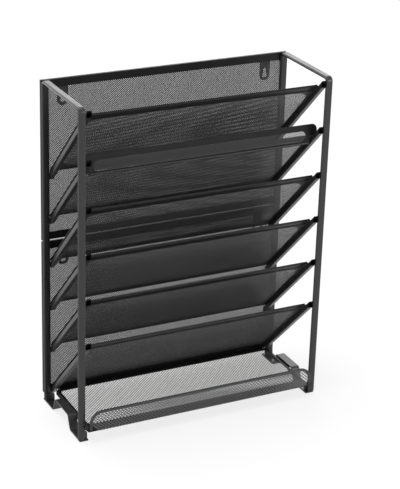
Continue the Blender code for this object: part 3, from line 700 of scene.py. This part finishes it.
down_slope = Vector((0, math.cos(slope), -math.sin(slope)))
off_slope = Vector((0, math.sin(slope), math.cos(slope)))
for number in range(1, tray_count + 1):
    frame_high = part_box(f"tray_{number}_frame")[1]
    rail_low, rail_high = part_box(f"tray_rail_left_{number}")
    half = frame_high.x
    corner = Vector((0, rail_low.y, rail_high.z))
    along = Matrix((Vector((1, 0, 0)), down_slope, off_slope)).transposed().to_4x4()
    under = mesh_sheet + 2 * fit_gap
    near = (wall_tray_setback if number == 2 else tray_setback) / math.cos(slope)
    far = (frame_high.y - rail_low.y - (under + frame_sheet) * math.sin(slope)) / math.cos(slope)
    window = (-half + side_border, half - side_border, near + front_border, far - rear_border)
    outline = [
        (-half, near), (-half + lip_end, near), (half - lip_end, near), (half, near), (half, far),
        (-half, far)]
    blank = flat_blank(outline, [round_outline(*window, [window_round] * 4, steps=20)])
    if number != 2:
        fold_up(blank, near, half - lip_end + fit_gap, lip_height)
    on_mesh = Matrix.Translation(corner + off_slope * (under + frame_sheet)) @ along
    tray = pressed(f"tray_sheet_{number}", blank, on_mesh, frame_sheet, sheet_edge, shaded_sheet_coat)
    finished(tray, "coated_sheet", f"tray_{number}_frame")
    on_rails = Matrix.Translation(corner + off_slope * (fit_gap + mesh_sheet / 2)) @ along
    grille = mesh_panel(f"tray_grille_{number}", widened(window, mesh_lap), mesh_lap, on_rails)
    finished(grille, "coated_mesh", f"tray_{number}_mesh")

# Front wall of the second tray. A pressed steel frame stands across the rails and hangs between them,
# with round upper corners and a small rolled bead along its foot. Expanded mesh fills its long low
# window.
wall_rise = 0.0195
wall_drop = 0.004
wall_foot_drop = 0.0065
bead = 0.0018
wall_corner = 0.008
wall_window_round = 0.0075
wall_side = 0.0165
wall_top = 0.0085
wall_foot = 0.0045
wall_mesh_lap = 0.0006
nearly_round = 0.999
low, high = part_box("tray_2_front_frame")
on_rails = high.z - wall_rise
low.z -= wall_foot_drop
high.z -= wall_drop
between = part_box("tray_rail_right_1")[0].x - fit_gap
upper = round_outline(low.x, high.x, on_rails, high.z, [0, 0, wall_corner, wall_corner], steps=18)
wall_window = (low.x + wall_side, high.x - wall_side, low.z + wall_foot, high.z - wall_top)
blank = flat_blank(
    [(-between, low.z), (between, low.z), (between, on_rails)] + upper[1:]
    + [(-high.x, on_rails), (-between, on_rails)],
    [round_outline(*wall_window, [wall_window_round] * 4)])
front_wall = pressed("front_wall_2", blank, upright(low.y), high.y - low.y, sheet_edge, shaded_sheet_coat)
finished(front_wall, "coated_sheet", "tray_2_front_frame")
bead_path = path_mesh("bead_path", [
    (x, low.y - bead / 4, low.z + wall_foot / 2) for x in (bead - between, 0, between - bead)])
wall_bead = made_by(bent_bar, "front_wall_bead_2", bead_path, {
    "Across": (0, 1, 0), "Bar Width": bead, "Bar Depth": bead, "Edge Radius": bead / 2 * nearly_round,
    "Bend Radius": 0.0, "Finish": tube_coat})
smoothed(wall_bead)
finished(wall_bead, "coated_sheet")
wall_grille = mesh_panel(
    "front_wall_grille_2", widened(wall_window, wall_mesh_lap), wall_window_round,
    upright((low.y + high.y) / 2))
finished(wall_grille, "coated_mesh", "tray_2_front_mesh")

# Back panels. Two pressed steel frames, one above the other with a slit between them, have their edges
# turned back as a hem and expanded mesh welded behind. Screws through the stiles hold them to the legs.
back_border = 0.011
back_stile = 0.0095
back_round = 0.003
back_sheet = 0.001
back_strand = 0.00117
screw_hole = 0.0042
back_screw_inset = 0.025


def circle(x, y, radius, sides=24):
    """Corner points of a round hole."""
    return [
        (x + radius * math.cos(math.tau * i / sides), y + radius * math.sin(math.tau * i / sides))
        for i in range(sides)]


def turned_hem(shape, left, right, bottom, top, depth):
    """Turn a blank's outer edges back as a hem."""
    rim = []
    for edge in shape.edges:
        flat = all(min(abs(corner.co.x - left), abs(corner.co.x - right)) < fit_gap or
                   min(abs(corner.co.y - bottom), abs(corner.co.y - top)) < fit_gap for corner in edge.verts)
        if edge.is_boundary and flat:
            rim.append(edge)
    folded(shape, rim, -depth)


for place_word in ("upper", "lower"):
    low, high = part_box("back_frame_" + place_word)
    mesh_low, mesh_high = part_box("back_mesh_" + place_word)
    window = (low.x + back_stile, high.x - back_stile, low.z + back_border, high.z - back_border)
    holes = [round_outline(*window, [back_round] * 4, steps=8)]
    for side in (-1, 1):
        for z in (low.z + back_screw_inset, high.z - back_screw_inset):
            holes.append(circle(side * (high.x - leg_width / 2), z, screw_hole / 2))
    blank = flat_blank([(low.x, low.z), (high.x, low.z), (high.x, high.z), (low.x, high.z)], holes)
    turned_hem(blank, low.x, high.x, low.z, high.z, high.y - low.y)
    back = pressed("back_panel_" + place_word, blank, upright(low.y), back_sheet, sheet_edge, shaded_sheet_coat)
    finished(back, "coated_sheet", "back_frame_" + place_word)
    grille = mesh_panel(
        "back_grille_" + place_word, (mesh_low.x, mesh_high.x, mesh_low.z, mesh_high.z), 0.0,
        upright((mesh_low.y + mesh_high.y) / 2), strand=back_strand)
    finished(grille, "coated_mesh", "back_mesh_" + place_word)

# Hang tabs. Four flat steel tongues are welded behind the back panels. A keyhole in each takes the
# head of a wall screw through its round hole and lets the shank rise into its slot.
tab_half = 0.00735
keyhole_radius = 0.0035
keyhole_half_slot = 0.002
keyhole_rise = 0.008
round_steps = 24
slot_steps = 10
for place_word in ("upper", "lower"):
    for word in ("left", "right"):
        node = f"hang_tab_{place_word}_{word}"
        low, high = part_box(node)
        middle_x = (low.x + high.x) / 2
        hole_z = low.z + tab_half
        outline = round_outline(low.x, high.x, low.z, high.z, [tab_half, tab_half, 0, 0], steps=16)
        opened = math.asin(keyhole_half_slot / keyhole_radius)
        keyhole = []
        for step in range(round_steps + 1):
            turn = math.pi / 2 + opened + (math.tau - 2 * opened) * step / round_steps
            keyhole.append((
                middle_x + keyhole_radius * math.cos(turn), hole_z + keyhole_radius * math.sin(turn)))
        for step in range(slot_steps + 1):
            turn = math.pi * step / slot_steps
            keyhole.append((
                middle_x + keyhole_half_slot * math.cos(turn),
                hole_z + keyhole_rise + keyhole_half_slot * math.sin(turn)))
        tongue = pressed(
            "hang_tongue_" + place_word + "_" + word, flat_blank(outline, [keyhole]), upright(low.y),
            high.y - low.y, tab_edge, shaded_sheet_coat)
        finished(tongue, "coated_sheet", node)

# Screws. Black pan head steel screws with a cross recess hold the back panels to the rear legs, four
# in each panel. Two more go up through each ear of the bottom tray into the bridge above it.
screw_head = 0.0066
screw_head_height = 0.0018
screw_head_rim = 0.0002
screw_head_side = 0.0006
screw_head_crown = 0.6
screw_shank = 0.0034
screw_tip = 0.0004
screw_tip_width = 0.7
crown_steps = 6
cross_reach = 0.56
cross_width = 0.0008
cross_depth = 0.0020
cross_step = 0.00002
black_steel = powder_coat("black_steel", coat=0.014, gloss=0.30, peel=1500, dust=0.02, relief=0.15)


def pan_head_screw(shank_length):
    """One screw on the Z axis, its head upwards, with the cross pressed into the head."""
    radius = screw_head / 2
    shank = screw_shank / 2
    profile = [
        (0.0, -shank_length), (shank * screw_tip_width, -shank_length), (shank, -shank_length + screw_tip),
        (shank, fit_gap), (radius - screw_head_rim, fit_gap), (radius, fit_gap + screw_head_rim)]
    for step in range(1, crown_steps + 1):
        turn = math.radians(90) * step / crown_steps
        across = radius * math.cos(turn) ** screw_head_crown if step < crown_steps else 0.0
        crown = (screw_head_height - screw_head_side) * math.sin(turn)
        profile.append((across, fit_gap + screw_head_side + crown))
    shape = bmesh.new()
    points = [shape.verts.new((across, 0, height)) for across, height in profile]
    edges = [shape.edges.new(pair) for pair in zip(points, points[1:])]
    bmesh.ops.spin(
        shape, geom=points + edges, axis=(0, 0, 1), cent=(0, 0, 0), angle=math.tau, steps=24,
        use_duplicate=False)
    bmesh.ops.remove_doubles(shape, verts=shape.verts, dist=same_point)
    bmesh.ops.recalc_face_normals(shape, faces=shape.faces)
    head = bpy.data.meshes.new("pan_head")
    shape.to_mesh(head)
    shape.free()
    whole = bpy.data.objects.new("pan_head", head)
    bpy.context.scene.collection.objects.link(whole)
    cross = bmesh.new()
    for turn in (0, math.radians(90)):
        bmesh.ops.create_cube(cross, size=1, matrix=Matrix.Translation(
            (0, 0, fit_gap + screw_head_height)) @ Matrix.Rotation(turn, 4, "Z") @ Matrix.Diagonal(
            (screw_head * cross_reach, cross_width + turn * cross_step, cross_depth, 1)))
    tool = bpy.data.meshes.new("cross")
    cross.to_mesh(tool)
    cross.free()
    driver = bpy.data.objects.new("cross", tool)
    bpy.context.scene.collection.objects.link(driver)
    recess = whole.modifiers.new("recess", "BOOLEAN")
    recess.operation = "DIFFERENCE"
    recess.solver = "EXACT"
    recess.use_self = True
    recess.object = driver
    made = bpy.data.meshes.new_from_object(whole.evaluated_get(bpy.context.evaluated_depsgraph_get()))
    bpy.data.objects.remove(whole)
    bpy.data.objects.remove(driver)
    return made


def add_screw_row():
    """Geometry Nodes: the same screw at every given point, turned to its face."""
    group = bpy.data.node_groups.new("screw_row", "GeometryNodeTree")
    group.interface.new_socket("Geometry", in_out="INPUT", socket_type="NodeSocketGeometry")
    for name, kind in (
            ("Screw", "NodeSocketObject"), ("Turn", "NodeSocketVector"), ("Finish", "NodeSocketMaterial")):
        group.interface.new_socket(name, in_out="INPUT", socket_type=kind)
    group.interface.new_socket("Geometry", in_out="OUTPUT", socket_type="NodeSocketGeometry")
    nodes = group.nodes
    join = group.links.new
    given = nodes.new("NodeGroupInput").outputs
    one = nodes.new("GeometryNodeObjectInfo")
    join(given["Screw"], one.inputs["Object"])
    copies = nodes.new("GeometryNodeInstanceOnPoints")
    join(given["Geometry"], copies.inputs["Points"])
    join(one.outputs["Geometry"], copies.inputs["Instance"])
    join(given["Turn"], copies.inputs["Rotation"])
    solid = nodes.new("GeometryNodeRealizeInstances")
    join(copies.outputs[0], solid.inputs[0])
    finish = nodes.new("GeometryNodeSetMaterial")
    join(solid.outputs[0], finish.inputs["Geometry"])
    join(given["Finish"], finish.inputs["Material"])
    join(finish.outputs[0], nodes.new("NodeGroupOutput").inputs["Geometry"])
    return group


screw_row = add_screw_row()


def screws(name, nodes, turn, on_low_side, axis):
    """Screws that stand for these nodes, their heads on the side that the nodes' heads are."""
    places = []
    for node in nodes:
        low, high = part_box(node)
        seat = (low + high) / 2
        seat[axis] = low[axis] if on_low_side else high[axis]
        seat[axis] += (screw_head_height + fit_gap) * (1 if on_low_side else -1)
        places.append(seat)
    low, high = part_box(nodes[0])
    one_screw = bpy.data.objects.new(
        name + "_one", pan_head_screw(high[axis] - low[axis] - screw_head_height - fit_gap))
    bpy.context.scene.collection.objects.link(one_screw)
    seats = bpy.data.meshes.new(name + "_seats")
    seats.from_pydata(places, [], [])
    made = made_by(screw_row, name, seats, {"Screw": one_screw, "Turn": turn, "Finish": black_steel})
    bpy.data.objects.remove(one_screw)
    made.data.shade_smooth()
    made.data.set_sharp_from_angle(angle=math.radians(35))
    finished(made, "black_screw", *nodes)


back_screws = [
    f"back_screw_{panel}_{word}_{count}"
    for panel in ("upper", "lower") for word in ("left", "right") for count in (1, 2)]
screws("back_panel_screws", back_screws, turn=(math.radians(-90), 0, 0), on_low_side=False, axis=1)
ear_screws = [f"bottom_tray_screw_{word}_{count}" for word in ("left", "right") for count in (1, 2)]
screws("bottom_tray_screws", ear_screws, turn=(math.radians(180), 0, 0), on_low_side=True, axis=2)

# Bottom tray. A pressed steel frame with an ear under each bridge and its side and rear edges turned
# down holds a flat mesh floor. A wire bent round two corners stands on its front edge, and mesh inside
# the wire makes a low front wall that runs down over the edge.
front_edge = 0.019
side_edge = 0.004
rear_edge = 0.0138
sheet_setback = 0.0009
shelf_edge = 0.00045
floor_round = 0.006
floor_mesh_lap = 0.002
front_half = 0.1675
shoulder_half = 0.169
rail_notch = 0.0103
notch_half = 0.1572
side_hem = 0.007
open_pitch = 0.00315
open_strand = 0.0009
front_strand = 0.00112
front_mesh_ahead = 0.001
ear_reach = 0.010
ear_half = 0.015
ear_screw_spacing = 0.018
rim_wire = 0.004
rim_corner = 0.017
low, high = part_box("bottom_tray_frame")
rim_low, rim_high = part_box("bottom_tray_rim")
strip_low, strip_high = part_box("foot_strip_right")
half = strip_low.x - fit_gap
shoulder = strip_low.y - fit_gap
middle_y = (strip_low.y + strip_high.y) / 2
floor_window = (-half + side_edge, half - side_edge, low.y + front_edge, high.y - rear_edge)
right_side = [
    (front_half, low.y + sheet_setback), (shoulder_half, shoulder), (half, shoulder),
    (half, middle_y - ear_half), (high.x, middle_y - ear_half), (high.x, middle_y + ear_half),
    (half, middle_y + ear_half), (half, high.y - rail_notch), (notch_half, high.y - rail_notch),
    (notch_half, high.y)]
holes = [round_outline(*floor_window, [floor_round] * 4, steps=10)]
for side in (-1, 1):
    for row in (-1, 1):
        holes.append(circle(
            side * (strip_low.x + ear_reach / 2), middle_y + row * ear_screw_spacing / 2, screw_hole / 2))
blank = flat_blank(right_side + [(-x, y) for x, y in reversed(right_side)], holes)
turned_hem(blank, -half, half, high.y, high.y, side_hem)
shelf = pressed(
    "bottom_tray_sheet", blank, Matrix.Translation((0, 0, high.z)), high.z - low.z, shelf_edge,
    shaded_sheet_coat)
finished(shelf, "coated_sheet", "bottom_tray_frame")
mesh_low, mesh_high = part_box("bottom_tray_mesh")
floor_mesh_coat = powder_coat(
    "floor_mesh_coat", coat=0.016, gloss=0.42, peel=900, dust=0.02, relief=0.3, shine=0.35)
floor_grille = mesh_panel(
    "bottom_tray_grille", widened(floor_window, floor_mesh_lap), 0.0,
    Matrix.Translation((0, 0, (mesh_low.z + mesh_high.z) / 2)), open_pitch, open_strand, floor_mesh_coat)
finished(floor_grille, "coated_mesh", "bottom_tray_mesh")

wire_half = rim_wire / 2
rim_y = (rim_low.y + rim_high.y) / 2
path = path_mesh("rim_path", [
    (rim_low.x + wire_half, rim_y, rim_low.z), (rim_low.x + wire_half, rim_y, rim_high.z - wire_half),
    (rim_high.x - wire_half, rim_y, rim_high.z - wire_half), (rim_high.x - wire_half, rim_y, rim_low.z)])
rim = made_by(bent_bar, "rim_wire", path, {
    "Across": (0, 1, 0), "Bar Width": rim_wire, "Bar Depth": rim_wire,
    "Edge Radius": wire_half * nearly_round, "Bend Radius": rim_corner - wire_half, "Finish": tube_coat})
smoothed(rim)
finished(rim, "coated_tube", "bottom_tray_rim")
front_mesh_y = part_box("bottom_tray_front_mesh")[0].y - front_mesh_ahead
# The front wall's mesh takes a coat far lighter than the tubes' black: painted light on its strands.
front_mesh_painted_light_coat = powder_coat(
    "front_mesh_painted_light_coat", coat=0.10, gloss=0.42, peel=900, dust=0.04, relief=0.3)
front_grille = mesh_panel(
    "bottom_tray_front_grille",
    (rim_low.x + wire_half, rim_high.x - wire_half, low.z, rim_high.z - wire_half),
    rim_corner - wire_half, upright(front_mesh_y), open_pitch, front_strand, front_mesh_painted_light_coat)
finished(front_grille, "coated_mesh", "bottom_tray_front_mesh")
